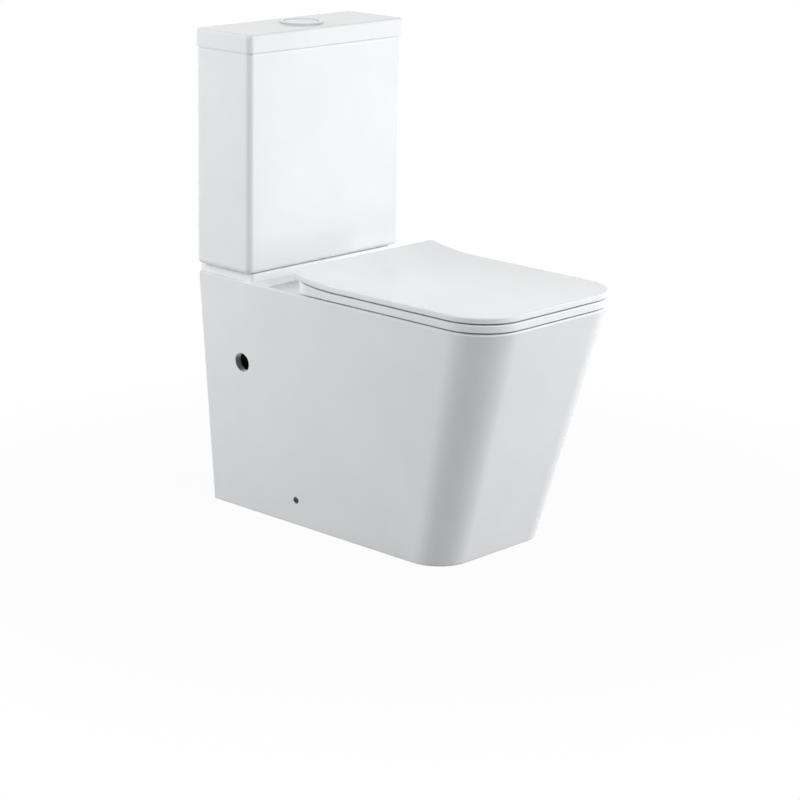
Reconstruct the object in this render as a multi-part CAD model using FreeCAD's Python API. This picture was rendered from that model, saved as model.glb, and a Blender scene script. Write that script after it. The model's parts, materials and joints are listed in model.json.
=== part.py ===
import FreeCAD, Part
import math
import os

from FreeCAD import Vector

# Rimless close-coupled toilet, millimetres.
# X runs across the pan, -Y is the front, +Y the wall, +Z up, floor at Z = 0.

# Pan: outside
pan_depth = 650.0
pan_width = 352.0
pan_height = 416.0
foot_front_setback = 115.0
foot_side_setback = 36.0
pan_corner_r = 80.0
foot_corner_r = 60.0
pan_edge_r = 3.0
skirt_wall = 12.0
skirt_joint_set = 10.0
deck_thickness = 16.0

# Pan: plinth under the cistern
plinth_height = 14.0
plinth_depth = 126.0
plinth_side_setback = 5.0
plinth_taper = 2.0
plinth_corner_r = 6.0
plinth_edge_r = 3.0

# Pan: rimless bowl, trapway and flush duct
bowl_side_land = 49.0
bowl_front_land = 48.0
bowl_back_land = 271.0
bowl_front_flat = 46.0
bowl_back_flat = 94.0
bowl_wall = 10.0
bowl_skirt_gap = 4.0
rim_drop = 34.0
ledge_width = 13.0
sump_width = 90.0
sump_length = 106.0
sump_setback = 10.0
sump_end_flat = 2.0
sump_z = 56.0
trap_bore_r = 40.0
trap_wall = 10.0
trap_start_inset = 26.0
trap_rise_run = 70.0
trap_fall_run = 91.0
trap_crown_gap = 26.0
trap_bend_inside_r = 10.0
trap_crown_inside_r = 2.0
spigot_wall = 11.0
spigot_z = 185.0
spigot_setback = 40.0
spigot_straight = 62.0
spigot_length = 36.0
duct_width = 84.0
duct_height = 62.0
duct_wall = 12.0
duct_roof = 22.0

# Pan: holes
access_hole_r = 16.5
access_hole_from_wall = 93.0
access_hole_z = 270.0
floor_fix_hole_r = 6.0
floor_fix_hole_from_wall = 206.0
floor_fix_hole_z = 45.0
seat_bolt_spacing = 155.0
seat_bolt_hole_r = 7.0
coupling_bolt_spacing = 170.0
coupling_bolt_from_wall = 30.0
coupling_bolt_hole_r = 6.5
inlet_recess_r = 54.0
inlet_recess_depth = 24.0
inlet_hole_r = 38.0
inlet_boss_wall = 12.0
supply_hole_r = 23.0

# Seat, cover and hinge
seat_gap = 3.0
seat_thickness = 12.0
seat_overhang = 1.0
seat_back_r = 45.0
cover_back_r = 11.0
seat_sweep_length = 95.0
seat_hole_side_inset = 20.0
seat_hole_front_inset = 18.0
seat_hole_back_inset = 22.0
seat_edge_r = 2.0
cover_gap = 2.5
cover_thickness = 9.5
cover_edge_r = 2.5
cover_under_r = 1.0
hinge_pin_r = 3.5
hinge_pin_gap = 0.05
hinge_from_bowl = 46.0
hinge_setback = 9.0
hinge_rise = 13.0
hinge_ramp = 10.0
hinge_barrel_r = 8.0
hinge_post_width = 23.0
hinge_ear_width = 17.0
hinge_side_gap = 1.5
hinge_notch_gap = 1.5
hinge_pin_engage = 18.0
hinge_pin_end_gap = 0.5
hinge_foot_r = 15.0
hinge_foot_height = 2.2
hinge_bolt_r = 4.0
hinge_bolt_depth = 8.5
hinge_bolt_tip = 14.0
buffer_length = 30.0
buffer_width = 11.0
buffer_clearance = 0.3
seat_buffer_side = 26.0
seat_buffer_front = 145.0
seat_buffer_back = 89.0
cover_buffer_side = 35.0
cover_buffer_front = 135.0
cover_buffer_back = 119.0

# Cistern
cistern_width = 367.0
cistern_front_overhang = 5.0
cistern_height = 400.5
cistern_gap = 1.5
cistern_wall = 10.0
cistern_floor = 12.0
cistern_corner_r = 10.0
cistern_inner_r = 5.0
cistern_edge_r = 9.0
lid_height = 30.0
lid_overhang = 3.0
lid_thickness = 12.0
lid_lip_depth = 8.0
lid_lip_width = 5.0
lid_lip_gap = 1.5
lid_edge_r = 5.0
valve_from_wall = 66.0

# Dual-flush button
button_hole_r = 33.0
button_hole_gap = 0.5
housing_flange_r = 37.5
housing_flange_height = 3.0
housing_wall = 2.6
housing_depth = 44.0
housing_floor = 3.0
housing_nut_r = 42.0
housing_nut_height = 9.0
button_gap = 0.5
button_split_gap = 0.8
button_split_x = 5.0
button_cap_height = 8.0
button_cap_wall = 2.4
button_edge_r = 1.0
button_sink = 0.5
button_boss_r = 3.8
rod_r = 3.0
rod_x = 20.0
rod_y = 15.0
rod_guide_gap = 0.08

# Flush valve
tail_r = 29.8
tail_wall = 4.5
tail_hole_gap = 1.2
tail_drop = 30.0
valve_flange_r = 42.0
valve_flange_height = 6.0
valve_washer_height = 3.0
valve_sill_height = 5.0
cage_r = 40.0
cage_wall = 3.0
cage_window_height = 46.0
cage_leg_count = 4
cage_leg_angle = 22.0
tower_height = 268.0
tower_cap = 4.0
lever_axis_rise = 12.0
lever_width = 6.0
lever_thickness = 5.0
lever_nose_r = 4.0
full_lift_arm = 26.0
half_lift_arm = 12.0
half_lift_crank = 5.0
lever_touch_gap = 0.5
lever_pin_r = 2.0
lever_pin_gap = 0.05
lever_cheek = 3.2
lever_cheek_gap = 0.6
lever_cheek_length = 12.0
tube_r = 12.0
tube_wall = 2.0
tube_guide_gap = 0.3
tube_foot_r = 31.0
tube_foot_height = 5.0
tube_nose = 6.0
tube_top_rise = 8.0
seal_r = 33.5
seal_height = 3.0
seal_gap = 0.3
yoke_height = 4.0
yoke_margin = 6.0
yoke_collar = 3.0
yoke_back_r = 5.0
backnut_r = 42.0
backnut_height = 12.0
thread_gap = 0.3
doughnut_gap = 0.5

# Fill valve
fill_from_side = 48.5
fill_tail_r = 10.4
fill_neck_r = 10.0
fill_tail_drop = 44.0
fill_tail_thread = 34.0
fill_bore_r = 5.0
fill_hole_gap = 0.6
fill_flange_r = 19.0
fill_flange_height = 5.0
fill_washer_height = 3.5
fill_stem_r = 12.5
fill_stem_height = 252.0
fill_head_r = 19.0
fill_head_height = 30.0
fill_nut_r = 17.0
fill_nut_height = 9.0
float_r = 31.0
float_wall = 2.0
float_height = 72.0
float_stem_gap = 0.8
float_below_head = 30.0
link_r = 2.0
link_reach = 26.0
link_collar_r = 4.0
link_collar_height = 2.5
float_lever_arm = 32.0
float_lever_thickness = 3.0
float_lever_tilt = -9.0
float_lever_width = 12.0
float_pin_r = 1.8
float_pivot_rise = 7.0
float_cheek = 3.0
float_cheek_gap = 0.5
link_slot_gap = 0.5
link_collar_gap = 1.5

# Close coupling
bolt_r = 4.0
bolt_head_r = 8.0
bolt_head_height = 5.5
bolt_washer_r = 13.0
bolt_washer_height = 5.0
plate_washer_r = 14.0
plate_washer_height = 2.0
bolt_tip = 20.0
wing_nut_r = 8.0
wing_nut_height = 9.0
wing_span = 15.0
wing_thickness = 3.0
wing_rise = 5.0
nut_washer_r = 12.0
nut_washer_height = 3.0
hole_clearance = 0.1

# How far a cutting shape runs past the face it cuts, and how near two places count as one
cut_over = 1.0
same_place = 0.01

# Places worked out from the sizes above
front_y = -pan_depth / 2
wall_y = pan_depth / 2
foot_front_y = front_y + foot_front_setback
foot_width = pan_width - 2 * foot_side_setback
deck_under_z = pan_height - deck_thickness
plinth_top_z = pan_height + plinth_height
plinth_front_y = wall_y - plinth_depth
plinth_width = pan_width - 2 * plinth_side_setback
bowl_width = pan_width - 2 * bowl_side_land
bowl_front_y = front_y + bowl_front_land
bowl_back_y = wall_y - bowl_back_land
bowl_front_r = (bowl_width - bowl_front_flat) / 2
bowl_back_r = (bowl_width - bowl_back_flat) / 2
ledge_z = pan_height - rim_drop
sump_back_y = bowl_back_y - sump_setback
sump_front_y = sump_back_y - sump_length
trap_shell_r = trap_bore_r + trap_wall
outlet_y = wall_y - spigot_setback
duct_base_z = deck_under_z - duct_height
duct_ceiling_z = pan_height - duct_roof
trap_crown_z = duct_base_z - trap_crown_gap - trap_shell_r
tank_base_z = plinth_top_z + cistern_gap
tank_floor_z = tank_base_z + cistern_floor
lid_top_z = tank_base_z + cistern_height
tank_top_z = lid_top_z - lid_height
tank_front_y = plinth_front_y - cistern_front_overhang
valve_y = wall_y - valve_from_wall
fill_x = cistern_width / 2 - cistern_wall - fill_from_side
seat_base_z = pan_height + seat_gap
seat_top_z = seat_base_z + seat_thickness
seat_width = pan_width + 2 * seat_overhang
seat_front_y = front_y
hinge_y = bowl_back_y + hinge_from_bowl
seat_back_y = hinge_y + hinge_setback
hinge_z = seat_base_z + hinge_rise


def line(a, b):
    return Part.LineSegment(a, b).toShape()


def rounded_outline(x0, x1, y0, y1, front_r, back_r, z):
    """Closed plan outline with rounded front and back corners, or square ones where a radius is 0."""
    lean = 1 - math.sqrt(0.5)
    corners = [(x1, y0, -1, 1, front_r), (x1, y1, -1, -1, back_r),
               (x0, y1, 1, -1, back_r), (x0, y0, 1, 1, front_r)]
    runs = []
    for index, (x, y, sx, sy, r) in enumerate(corners):
        beside = Vector(x + sx * r, y, z)
        ahead = Vector(x, y + sy * r, z)
        middle = Vector(x + sx * r * lean, y + sy * r * lean, z)
        runs.append((beside, middle, ahead) if index % 2 == 0 else (ahead, middle, beside))
    edges = []
    for index, (entry, middle, leave) in enumerate(runs):
        if (leave - entry).Length > 0:
            edges.append(Part.Arc(entry, middle, leave).toShape())
        edges.append(line(leave, runs[(index + 1) % len(runs)][0]))
    return Part.Wire(edges)


def slab(x0, x1, y0, y1, z0, z1, front_r, back_r):
    """Straight-sided block on a rounded outline."""
    face = Part.Face(rounded_outline(x0, x1, y0, y1, front_r, back_r, z0))
    return face.extrude(Vector(0, 0, z1 - z0))


def box(x0, x1, y0, y1, z0, z1):
    return Part.makeBox(x1 - x0, y1 - y0, z1 - z0, Vector(x0, y0, z0))


def post(r, x, y, z0, z1):
    """Upright cylinder."""
    return Part.makeCylinder(r, z1 - z0, Vector(x, y, z0))


def ring(r_out, r_in, x, y, z0, z1):
    return post(r_out, x, y, z0, z1).cut(post(r_in, x, y, z0, z1))


def bar(r, x0, x1, y, z):
    """Cylinder lying along X."""
    return Part.makeCylinder(r, x1 - x0, Vector(x0, y, z), Vector(1, 0, 0))


def hexagon(r, x, y, z0, z1):
    """Hexagonal prism, r across its corners from the centre."""
    turns = [corner * math.pi / 3 for corner in range(7)]
    points = [Vector(x + r * math.cos(turn), y + r * math.sin(turn), z0) for turn in turns]
    return Part.Face(Part.makePolygon(points)).extrude(Vector(0, 0, z1 - z0))


def edges_at_height(shape, z):
    """Edges that lie wholly in one level plane."""
    return [edge for edge in shape.Edges
            if abs(edge.BoundBox.ZMin - z) < same_place and abs(edge.BoundBox.ZMax - z) < same_place]


def edges_off_wall(shape, z):
    """Level edges that don't lie against the wall."""
    return [edge for edge in edges_at_height(shape, z) if edge.BoundBox.YMin < wall_y - same_place]


def ruled_solid(wires):
    """Straight-sided loft whose flat sides are true planes."""
    loft = Part.makeLoft(wires, True, True)
    faces = [Part.Face(face.OuterWire) if face.findPlane() else face for face in loft.Faces]
    return Part.Solid(Part.Shell(faces))


def save(name, shape):
    solids = shape.Solids
    if not solids or not shape.isValid():
        raise ValueError(name + " is not a valid solid")
    shape = solids[0] if len(solids) == 1 else Part.makeCompound(solids)
    shape.exportStep(os.path.join("parts", name + ".step"))
    print(name, len(solids), round(shape.Volume), shape.BoundBox)


def bent_path(points, radii):
    """Straight runs joined by tangent arcs."""
    edges = []
    start = points[0]
    for corner, after, r in zip(points[1:-1], points[2:], radii):
        into = (corner - start).normalize()
        out = (after - corner).normalize()
        half_turn = into.getAngle(out) / 2
        reach = r * math.tan(half_turn)
        bend_start = corner - into * reach
        bend_end = corner + out * reach
        inward = (out - into).normalize()
        middle = corner + inward * (r / math.cos(half_turn) - r)
        edges.append(Part.LineSegment(start, bend_start).toShape())
        edges.append(Part.Arc(bend_start, middle, bend_end).toShape())
        start = bend_end
    edges.append(Part.LineSegment(start, points[-1]).toShape())
    return Part.Wire(edges)


def tube_along(path, r):
    """Solid round tube along a path that starts along +Y."""
    start = path.Vertexes[0].Point
    profile = Part.Wire(Part.Circle(start, Vector(0, 1, 0), r).toShape())
    return path.makePipeShell([profile], True, False)


def skirt_front_y(z):
    return foot_front_y + (front_y - foot_front_y) * z / pan_height


def pan_outline(z, inset, back_y):
    """Outline of the tapered skirt at one height, inset by a wall."""
    share = z / pan_height
    half = (foot_width + (pan_width - foot_width) * share) / 2 - inset
    front = skirt_front_y(z) + inset
    front_r = foot_corner_r + (pan_corner_r - foot_corner_r) * share - inset
    return rounded_outline(-half, half, front, back_y, front_r, 0, z)


def bowl_rim(grow, z0, z1):
    """Upright band of the bowl between its ledge and the rim."""
    half = bowl_width / 2 + grow
    return slab(-half, half, bowl_front_y - grow, bowl_back_y + grow, z0, z1,
                bowl_front_r + grow, bowl_back_r + grow)


def bowl_below_ledge(grow):
    """Bowl below its ledge, drawn in to the sump on an elliptical curve."""
    levels = [0.0, 0.3, 0.55, 0.78, 0.93, 1.0]
    floor_z = sump_z - grow
    sump_r = (sump_width - sump_end_flat) / 2
    wires = []
    for level in levels:
        spread = math.sqrt(1 - level * level)
        half = sump_width / 2 + (bowl_width / 2 - ledge_width - sump_width / 2) * spread + grow
        z = ledge_z + (floor_z - ledge_z) * level
        front = sump_front_y + (bowl_front_y + ledge_width - sump_front_y) * spread
        front = max(front, skirt_front_y(z) + skirt_wall + bowl_skirt_gap + bowl_wall) - grow
        back = sump_back_y + (bowl_back_y - ledge_width - sump_back_y) * spread + grow
        front_r = sump_r + (bowl_front_r - ledge_width - sump_r) * spread + grow
        back_r = sump_r + (bowl_back_r - ledge_width - sump_r) * spread + grow
        wires.append(rounded_outline(-half, half, front, back, front_r, back_r, z))
    return Part.makeLoft(wires, True, False)


def trap_path():
    """Centre line of the trapway: sump, dip, crown, outlet."""
    fall_y = outlet_y - spigot_straight
    crown_y = fall_y - trap_fall_run
    dip_y = crown_y - trap_rise_run
    inlet_z = sump_z + trap_bore_r
    points = [
        Vector(0, sump_front_y + trap_start_inset, inlet_z),
        Vector(0, dip_y, inlet_z),
        Vector(0, crown_y, trap_crown_z),
        Vector(0, fall_y, spigot_z),
        Vector(0, outlet_y, spigot_z),
    ]
    bend_r = trap_shell_r + trap_bend_inside_r
    return bent_path(points, [bend_r, trap_shell_r + trap_crown_inside_r, bend_r])


def make_plinth():
    wires = []
    for inset, z in ((0, pan_height - pan_edge_r), (plinth_taper, plinth_top_z)):
        half = plinth_width / 2 - inset
        wires.append(rounded_outline(-half, half, plinth_front_y + inset, wall_y, plinth_corner_r, 0, z))
    plinth = ruled_solid(wires)
    return plinth.makeFillet(plinth_edge_r, edges_off_wall(plinth, plinth_top_z))


def deck_holes():
    """Flush inlet with its recess, supply hole, and holes for the seat studs and the coupling bolts."""
    holes = [
        post(inlet_recess_r, 0, valve_y, plinth_top_z - inlet_recess_depth, plinth_top_z + cut_over),
        post(inlet_hole_r, 0, valve_y, deck_under_z - cut_over, plinth_top_z),
        post(supply_hole_r, fill_x, valve_y, deck_under_z - cut_over, plinth_top_z + cut_over),
    ]
    for x, y in seat_bolt_places():
        holes.append(post(seat_bolt_hole_r, x, y, deck_under_z - cut_over, pan_height + cut_over))
    for x, y in coupling_bolt_places():
        holes.append(post(coupling_bolt_hole_r, x, y, deck_under_z - cut_over, plinth_top_z + cut_over))
    return holes


def side_holes():
    """Large access hole and small floor-fixing hole, through both sides of the skirt."""
    outer = pan_width / 2 + cut_over
    inner = foot_width / 2 - skirt_wall - cut_over
    holes = []
    for y, z, r in ((wall_y - access_hole_from_wall, access_hole_z, access_hole_r),
                    (wall_y - floor_fix_hole_from_wall, floor_fix_hole_z, floor_fix_hole_r)):
        holes += [bar(r, -outer, -inner, y, z), bar(r, inner, outer, y, z)]
    return holes


def skirt_top_z():
    """Height where the rounding of the pan's rim begins."""
    return pan_height - pan_edge_r


def skirt_cavity(z0, z1):
    return ruled_solid([pan_outline(z, skirt_wall, wall_y + skirt_wall) for z in (z0, z1)])


def make_pan():
    """Deck of the pan round the bowl's opening, with its rounded rim and the plinth."""
    body = ruled_solid([pan_outline(0, 0, wall_y), pan_outline(pan_height, 0, wall_y)])
    body = body.cut(bowl_rim(0, deck_under_z - cut_over, pan_height + cut_over))
    body = body.makeFillet(pan_edge_r, edges_off_wall(body, pan_height))
    body = body.fuse(make_plinth())
    half = pan_width / 2 + cut_over
    rim = box(-half, half, front_y - cut_over, wall_y + cut_over, skirt_top_z(), plinth_top_z + cut_over)
    core = skirt_cavity(deck_under_z, skirt_top_z() + cut_over)
    return body.common(rim.fuse(core)).cut(deck_holes())


def skirt_joint_y(z):
    """Line on the skirt's side, behind its rounded front corner, where the side sections begin."""
    corner_r = foot_corner_r + (pan_corner_r - foot_corner_r) * z / pan_height
    return skirt_front_y(z) + corner_r + skirt_joint_set


def make_skirt():
    """Walls of the skirt under the rim: the front with its two rounded corners, and the two sides."""
    walls = ruled_solid([pan_outline(z, 0, wall_y) for z in (0, skirt_top_z())])
    walls = walls.cut(skirt_cavity(-cut_over, skirt_top_z() + cut_over))
    low = -cut_over
    high = skirt_top_z() + cut_over
    corners = [
        Vector(0, skirt_joint_y(low), low),
        Vector(0, wall_y + cut_over, low),
        Vector(0, wall_y + cut_over, high),
        Vector(0, skirt_joint_y(high), high),
    ]
    edges = [line(a, b) for a, b in zip(corners, corners[1:] + corners[:1])]
    rear = side_extrusion(edges, pan_width / 2 + cut_over)
    save("pan_skirt_front", walls.cut(rear))
    save("pan_skirt_sides", walls.common(rear).cut(side_holes()))


def duct_bore():
    """Way of the flush water, from under the inlet to the bowl's ledge."""
    half = duct_width / 2 - duct_wall
    return box(-half, half, bowl_back_y - ledge_width - cut_over, valve_y + inlet_hole_r,
               duct_base_z + duct_wall, duct_ceiling_z)


def make_pan_bowl():
    """Bowl section: upright rimless band, ledge and bowl, open to the duct and the trapway."""
    bowl = bowl_rim(bowl_wall, ledge_z - bowl_wall, deck_under_z)
    bowl = bowl.cut(bowl_rim(0, ledge_z, deck_under_z))
    bowl = bowl.fuse(bowl_below_ledge(bowl_wall))
    bowl = bowl.cut(bowl_below_ledge(0))
    bowl = bowl.cut(tube_along(trap_path(), trap_bore_r))
    return bowl.cut(duct_bore())


def make_pan_trapway():
    """Trapway section: bent tube from the bowl to the outlet spigot."""
    path = trap_path()
    spigot = Part.makeCylinder(trap_bore_r + spigot_wall, spigot_length,
                               Vector(0, outlet_y - spigot_length, spigot_z), Vector(0, 1, 0))
    tube = tube_along(path, trap_shell_r).fuse(spigot)
    tube = tube.cut(tube_along(path, trap_bore_r))
    return tube.cut(bowl_below_ledge(bowl_wall))


def make_pan_duct():
    """Flush duct section under the deck, with the boss round the inlet."""
    half = duct_width / 2
    duct = box(-half, half, bowl_back_y + bowl_wall, valve_y + inlet_hole_r + duct_wall,
               duct_base_z, deck_under_z)
    duct = duct.fuse(post(inlet_recess_r + inlet_boss_wall, 0, valve_y, duct_ceiling_z, deck_under_z))
    return duct.cut([duct_bore(), post(inlet_hole_r, 0, valve_y, duct_ceiling_z, deck_under_z)])


def sweep_start_y():
    return hinge_y - seat_sweep_length


def sweep_point(y, inset):
    """Point on the rising rear of the seat's top, inset towards the centre of its arc above."""
    rise = hinge_z + hinge_setback - seat_top_z
    r = (seat_sweep_length ** 2 + rise ** 2) / (2 * rise)
    along = max(0, y - sweep_start_y())
    return Vector(0, y, seat_top_z + r - math.sqrt((r - inset) ** 2 - along ** 2))


def sweep_edge(from_y, to_y, inset):
    points = [sweep_point(y, inset) for y in (from_y, (from_y + to_y) / 2, to_y)]
    return Part.Arc(*points).toShape()


def side_extrusion(edges, half):
    """Side profile in the YZ plane, drawn out to both sides."""
    face = Part.Face(Part.Wire(edges))
    face.translate(Vector(-half, 0, 0))
    return face.extrude(Vector(2 * half, 0, 0))


def seat_plan(back_r):
    half = seat_width / 2
    return slab(-half, half, seat_front_y, seat_back_y, 0, lid_top_z, pan_corner_r, back_r)


def outline_edges(shape, inset):
    """Edges of a plate where its swept surface meets its upright sides."""
    found = []
    for edge in shape.Edges:
        points = edge.discretize(5)
        on_surface = all(abs(q.z - sweep_point(q.y, inset).z) < same_place for q in points)
        seam = all(abs(q.y - sweep_start_y()) < same_place for q in points)
        if on_surface and not seam:
            found.append(edge)
    return found


def hinge_spans(side):
    """Spans along X of one hinge: notch in the seat, ear of the cover, post on the pan."""
    post_in = seat_bolt_spacing / 2 - hinge_post_width / 2
    post_out = post_in + hinge_post_width
    ear_out = post_in - hinge_side_gap
    ear_in = ear_out - hinge_ear_width
    spans = ((ear_in - hinge_side_gap, post_out + hinge_side_gap), (ear_in, ear_out), (post_in, post_out))
    return spans if side > 0 else tuple((-b, -a) for a, b in spans)


def make_seat_ring():
    front_low = Vector(0, seat_front_y, seat_base_z)
    front_high = Vector(0, seat_front_y, seat_top_z)
    ramp = Vector(0, hinge_y - hinge_ramp, seat_base_z)
    barrel = [Vector(0, hinge_y, hinge_z - hinge_setback), Vector(0, hinge_y + hinge_setback, hinge_z),
              sweep_point(hinge_y, 0)]
    plate = side_extrusion([
        line(front_low, ramp),
        line(ramp, barrel[0]),
        Part.Arc(*barrel).toShape(),
        sweep_edge(hinge_y, sweep_start_y(), 0),
        line(sweep_point(sweep_start_y(), 0), front_high),
        line(front_high, front_low),
    ], seat_width / 2)
    plate = plate.common(seat_plan(seat_back_r))
    inset = seat_hole_side_inset
    half = bowl_width / 2 - inset
    hole_front = bowl_front_y + seat_hole_front_inset
    hole_back = bowl_back_y - seat_hole_back_inset
    plate = plate.cut(slab(-half, half, hole_front, hole_back, 0, lid_top_z,
                           bowl_front_r - inset, bowl_back_r - inset))
    plate = plate.makeFillet(seat_edge_r, outline_edges(plate, 0))
    cuts = []
    for side in (-1, 1):
        notch, ear, stand = hinge_spans(side)
        notch_front = hinge_y - hinge_barrel_r - hinge_notch_gap
        cuts.append(box(notch[0], notch[1], notch_front, seat_back_y + hinge_setback, 0, lid_top_z))
        reach = hinge_pin_engage + hinge_pin_end_gap
        cuts.append(bar(hinge_pin_r + hinge_pin_gap, notch[0] - reach, notch[1] + reach, hinge_y, hinge_z))
    return plate.cut(cuts)


def make_seat_cover():
    low = cover_gap
    high = cover_gap + cover_thickness
    start_y = sweep_start_y()
    front = [Vector(0, seat_front_y, sweep_point(start_y, inset).z) for inset in (low, high)]
    plate = side_extrusion([
        line(front[0], sweep_point(start_y, low)),
        sweep_edge(start_y, seat_back_y, low),
        line(sweep_point(seat_back_y, low), sweep_point(seat_back_y, high)),
        sweep_edge(seat_back_y, start_y, high),
        line(sweep_point(start_y, high), front[1]),
        line(front[1], front[0]),
    ], seat_width / 2)
    plate = plate.common(seat_plan(cover_back_r))
    plate = plate.makeFillet(cover_edge_r, outline_edges(plate, high))
    plate = plate.makeFillet(cover_under_r, outline_edges(plate, low))
    for side in (-1, 1):
        notch, ear, stand = hinge_spans(side)
        stem_top = sweep_point(hinge_y + hinge_barrel_r, low).z + cover_under_r
        plate = plate.fuse([
            bar(hinge_barrel_r, ear[0], ear[1], hinge_y, hinge_z),
            box(ear[0], ear[1], hinge_y - hinge_barrel_r, hinge_y + hinge_barrel_r, hinge_z, stem_top),
        ])
        plate = plate.cut(bar(hinge_pin_r + hinge_pin_gap, ear[0], ear[1], hinge_y, hinge_z))
    return plate


def make_hinge_posts():
    posts = []
    for side in (-1, 1):
        notch, ear, stand = hinge_spans(side)
        x = side * seat_bolt_spacing / 2
        body = post(hinge_foot_r, x, hinge_y, pan_height, pan_height + hinge_foot_height).fuse([
            box(stand[0], stand[1], hinge_y - hinge_barrel_r, hinge_y + hinge_barrel_r, pan_height, hinge_z),
            bar(hinge_barrel_r, stand[0], stand[1], hinge_y, hinge_z),
        ])
        posts.append(body.cut([
            bar(hinge_pin_r + hinge_pin_gap, stand[0], stand[1], hinge_y, hinge_z),
            post(hinge_bolt_r + hole_clearance, x, hinge_y, pan_height, pan_height + hinge_bolt_depth),
        ]))
    return Part.makeCompound(posts)


def make_hinge_pins():
    pins = []
    for side in (-1, 1):
        notch = hinge_spans(side)[0]
        ends = notch[0] - hinge_pin_engage, notch[1] + hinge_pin_engage
        pins.append(bar(hinge_pin_r, ends[0], ends[1], hinge_y, hinge_z))
    return Part.makeCompound(pins)


def wing_nut(x, y, z, stud_r):
    """Wing nut that hangs below height z, its wings across X."""
    wing_z = z - wing_nut_height - wing_rise
    wings = box(x - wing_span, x + wing_span, y - wing_thickness / 2, y + wing_thickness / 2,
                wing_z, z - wing_nut_height / 2)
    nut = post(wing_nut_r, x, y, z - wing_nut_height, z).fuse(wings)
    return nut.cut(post(stud_r + hole_clearance, x, y, wing_z, z))


def seat_bolt_places():
    return [(side * seat_bolt_spacing / 2, hinge_y) for side in (-1, 1)]


def make_hinge_fixings():
    """Studs, washers and wing nuts that hold the hinge posts to the deck."""
    nut_z = deck_under_z - nut_washer_height
    studs = []
    washers = []
    nuts = []
    for x, y in seat_bolt_places():
        studs.append(post(hinge_bolt_r, x, y, nut_z - wing_nut_height - hinge_bolt_tip,
                          pan_height + hinge_bolt_depth - hole_clearance))
        washers.append(ring(nut_washer_r, hinge_bolt_r + hole_clearance, x, y, nut_z, deck_under_z))
        nuts.append(wing_nut(x, y, nut_z, hinge_bolt_r))
    save("hinge_studs", Part.makeCompound(studs))
    save("hinge_washers", Part.makeCompound(washers))
    save("hinge_wing_nuts", Part.makeCompound(nuts))


def buffer_pads(side_inset, front_inset, back_inset, z0, z1):
    """Four soft pads with round ends, two a side."""
    pads = []
    x = seat_width / 2 - side_inset
    places = (seat_front_y + front_inset, seat_back_y - back_inset)
    end_r = buffer_width / 2 - hole_clearance
    for side in (-1, 1):
        for y in places:
            pads.append(slab(side * x - buffer_width / 2, side * x + buffer_width / 2,
                             y - buffer_length / 2, y + buffer_length / 2, z0, z1, end_r, end_r))
    return Part.makeCompound(pads)


def tank_outline(grow_side, grow_front, grow_back, z0, z1, r):
    """Block on the cistern's outline, grown or drawn in on its sides, front and back."""
    half = cistern_width / 2 + grow_side
    return slab(-half, half, tank_front_y - grow_front, wall_y + grow_back, z0, z1, r, r)


def coupling_bolt_places():
    y = wall_y - coupling_bolt_from_wall
    return [(side * coupling_bolt_spacing / 2, y) for side in (-1, 1)]


def make_cistern_tank():
    tank = tank_outline(0, 0, 0, tank_base_z, tank_top_z, cistern_corner_r)
    tank = tank.makeFillet(cistern_edge_r, edges_at_height(tank, tank_base_z))
    wall = cistern_wall
    tank = tank.cut(tank_outline(-wall, -wall, -wall, tank_floor_z, tank_top_z, cistern_inner_r))
    holes = [
        post(tail_r + tail_hole_gap, 0, valve_y, tank_base_z, tank_floor_z),
        post(fill_tail_r + fill_hole_gap, fill_x, valve_y, tank_base_z, tank_floor_z),
    ]
    holes += [post(coupling_bolt_hole_r, x, y, tank_base_z, tank_floor_z) for x, y in coupling_bolt_places()]
    return tank.cut(holes)


def make_cistern_lid():
    over = lid_overhang
    lid = tank_outline(over, over, 0, tank_top_z, lid_top_z, cistern_corner_r)
    lid = lid.makeFillet(lid_edge_r, edges_at_height(lid, lid_top_z))
    lip = -cistern_wall - lid_lip_gap
    lip_base_z = tank_top_z - lid_lip_depth
    lid = lid.fuse(tank_outline(lip, lip, lip, lip_base_z, tank_top_z, cistern_inner_r))
    inner = lip - lid_lip_width
    lid = lid.cut(tank_outline(inner, inner, inner, lip_base_z, lid_top_z - lid_thickness, cistern_inner_r))
    return lid.cut(post(button_hole_r, 0, valve_y, tank_top_z, lid_top_z))


def rod_places():
    """Push rods of the full and the half flush."""
    return {"full": (-rod_x, valve_y - rod_y), "half": (rod_x, valve_y - rod_y)}


def housing_bore_r():
    return button_hole_r - button_hole_gap - housing_wall


def make_button_housing():
    base_z = lid_top_z - housing_depth
    top_z = lid_top_z + housing_flange_height
    flange = post(housing_flange_r, 0, valve_y, lid_top_z, top_z)
    flange = flange.makeFillet(housing_flange_height / 2, edges_at_height(flange, top_z))
    body = flange.fuse(post(button_hole_r - button_hole_gap, 0, valve_y, base_z, lid_top_z))
    body = body.cut(post(housing_bore_r(), 0, valve_y, base_z + housing_floor, top_z))
    guide_r = rod_r + rod_guide_gap
    return body.cut([post(guide_r, x, y, base_z, base_z + housing_floor) for x, y in rod_places().values()])


def make_button_housing_nut():
    under_z = lid_top_z - lid_thickness
    nut = hexagon(housing_nut_r, 0, valve_y, under_z - housing_nut_height, under_z)
    thread_r = button_hole_r - button_hole_gap + thread_gap
    return nut.cut(post(thread_r, 0, valve_y, under_z - housing_nut_height, under_z))


def button_top_z():
    return lid_top_z + housing_flange_height - button_sink


def button_block(side, r, gap, z0, z1):
    """Part of a disc on one side of the split between the buttons."""
    edge = button_split_x + side * gap
    disc = post(r, 0, valve_y, z0, z1)
    span = (edge - 2 * r, edge) if side < 0 else (edge, edge + 2 * r)
    return disc.common(box(span[0], span[1], valve_y - r, valve_y + r, z0, z1))


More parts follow.
